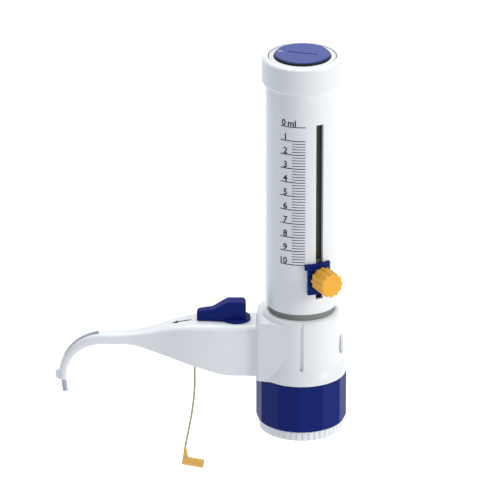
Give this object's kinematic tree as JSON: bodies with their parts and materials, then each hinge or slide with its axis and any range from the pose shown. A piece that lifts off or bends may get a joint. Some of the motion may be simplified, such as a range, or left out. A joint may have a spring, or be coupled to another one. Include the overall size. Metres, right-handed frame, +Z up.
{
  "type": "bottle top dispenser",
  "caption": "Piston dispenser for a reagent bottle: scaled sleeve over a glass cylinder, volume slider with clamp knob, discharge arm with valve lever and tethered cap.",
  "frame": {"origin": "centre of the adapter's open mouth, on the axis of the bottle thread", "axes": "+Z up along the piston's axis, -Z out of the bottle thread's mouth, -X along the discharge arm, -Y towards the scale"},
  "size_m": [0.1761, 0.0635, 0.271],
  "materials": {
    "white_plastic": "satin white polypropylene",
    "white_core": "matt white moulding",
    "blue_plastic": "satin dark blue polypropylene",
    "yellow_plastic": "satin warm yellow polypropylene",
    "strap_plastic": "soft tan-yellow elastomer",
    "dark_plastic": "dark brown-black tube",
    "bumper": "soft grey ring",
    "seal": "soft pale seal",
    "fluoropolymer": "translucent white fluoropolymer",
    "clear_tube": "translucent tube",
    "glass": "clear borosilicate",
    "ceramic_ball": "polished ceramic",
    "steel": "turned stainless steel"
  },
  "bodies": {
    "adapter": {"bottle_adapter": "white_plastic", "bottle_seal": "seal"},
    "nut": {"union_nut": "blue_plastic"},
    "valve_block": {"block_core": "white_core", "block_shell": "white_plastic", "swivel_seal": "seal", "vent_plug": "white_plastic", "bumper_ring": "bumper", "guide_tube": "dark_plastic", "stop_ring": "dark_plastic", "cylinder_seal": "fluoropolymer", "glass_cylinder": "glass", "cylinder_collar": "dark_plastic", "filling_valve_body": "fluoropolymer", "return_spigot": "fluoropolymer", "arm_shell": "white_plastic", "arm_cover": "white_plastic", "arm_screws": "steel", "discharge_valve_body": "fluoropolymer", "discharge_tube": "clear_tube", "strap_anchor": "strap_plastic"},
    "intake_ball": {"filling_ball": "ceramic_ball"},
    "outlet_ball": {"discharge_ball": "ceramic_ball"},
    "sleeve": {"volume_sleeve": "white_plastic", "head_cap": "white_plastic", "head_insert": "white_plastic", "piston": "fluoropolymer", "piston_rod": "steel", "rod_coupling": "white_core"},
    "calibration": {"calibration_disc": "blue_plastic", "calibration_screw": "white_core"},
    "slider": {"slider_plate": "blue_plastic", "slider_stop": "dark_plastic"},
    "knob": {"clamp_knob": "yellow_plastic", "clamp_screw": "steel"},
    "lever": {"valve_lever": "blue_plastic", "valve_spindle": "white_core"},
    "tether": {"tether_strap": "strap_plastic", "closure_cap": "yellow_plastic"}
  },
  "joints": [
    {"name": "nut_turn", "type": "hinge", "parent": "adapter", "child": "nut", "pos_m": [0, 0, 0.02], "axis": [0, 0, 1], "continuous": true},
    {"name": "block_swivel", "type": "hinge", "parent": "adapter", "child": "valve_block", "pos_m": [0, 0, 0.03], "axis": [0, 0, 1], "continuous": true},
    {"name": "sleeve_lift", "type": "slide", "parent": "valve_block", "child": "sleeve", "axis": [0, 0, 1], "range_m": [0, 0.08842]},
    {"name": "volume_slide", "type": "slide", "parent": "sleeve", "child": "slider", "axis": [0, 0, 1], "range_m": [0, 0.08842]},
    {"name": "knob_turn", "type": "hinge", "parent": "slider", "child": "knob", "pos_m": [0.01445, -0.02629, 0.1054], "axis": [0.4818, -0.8763, 0], "range_deg": [0, 180]},
    {"name": "calibration_turn", "type": "hinge", "parent": "sleeve", "child": "calibration", "pos_m": [0, 0, 0.231], "axis": [0, 0, 1], "range_deg": [0, 90]},
    {"name": "lever_turn", "type": "hinge", "parent": "valve_block", "child": "lever", "pos_m": [-0.0393, 0, 0.07], "axis": [0, 0, 1], "range_deg": [0, 90]},
    {"name": "strap_swing", "type": "hinge", "parent": "valve_block", "child": "tether", "pos_m": [-0.0646, 0, 0.0421], "axis": [0, 1, 0], "range_deg": [-25, 25]},
    {"name": "intake_ball_lift", "type": "slide", "parent": "valve_block", "child": "intake_ball", "axis": [0, 0, 1], "range_m": [0, 0.0012]},
    {"name": "outlet_ball_lift", "type": "slide", "parent": "valve_block", "child": "outlet_ball", "axis": [0, 0, 1], "range_m": [0, 0.0012]}
  ]
}
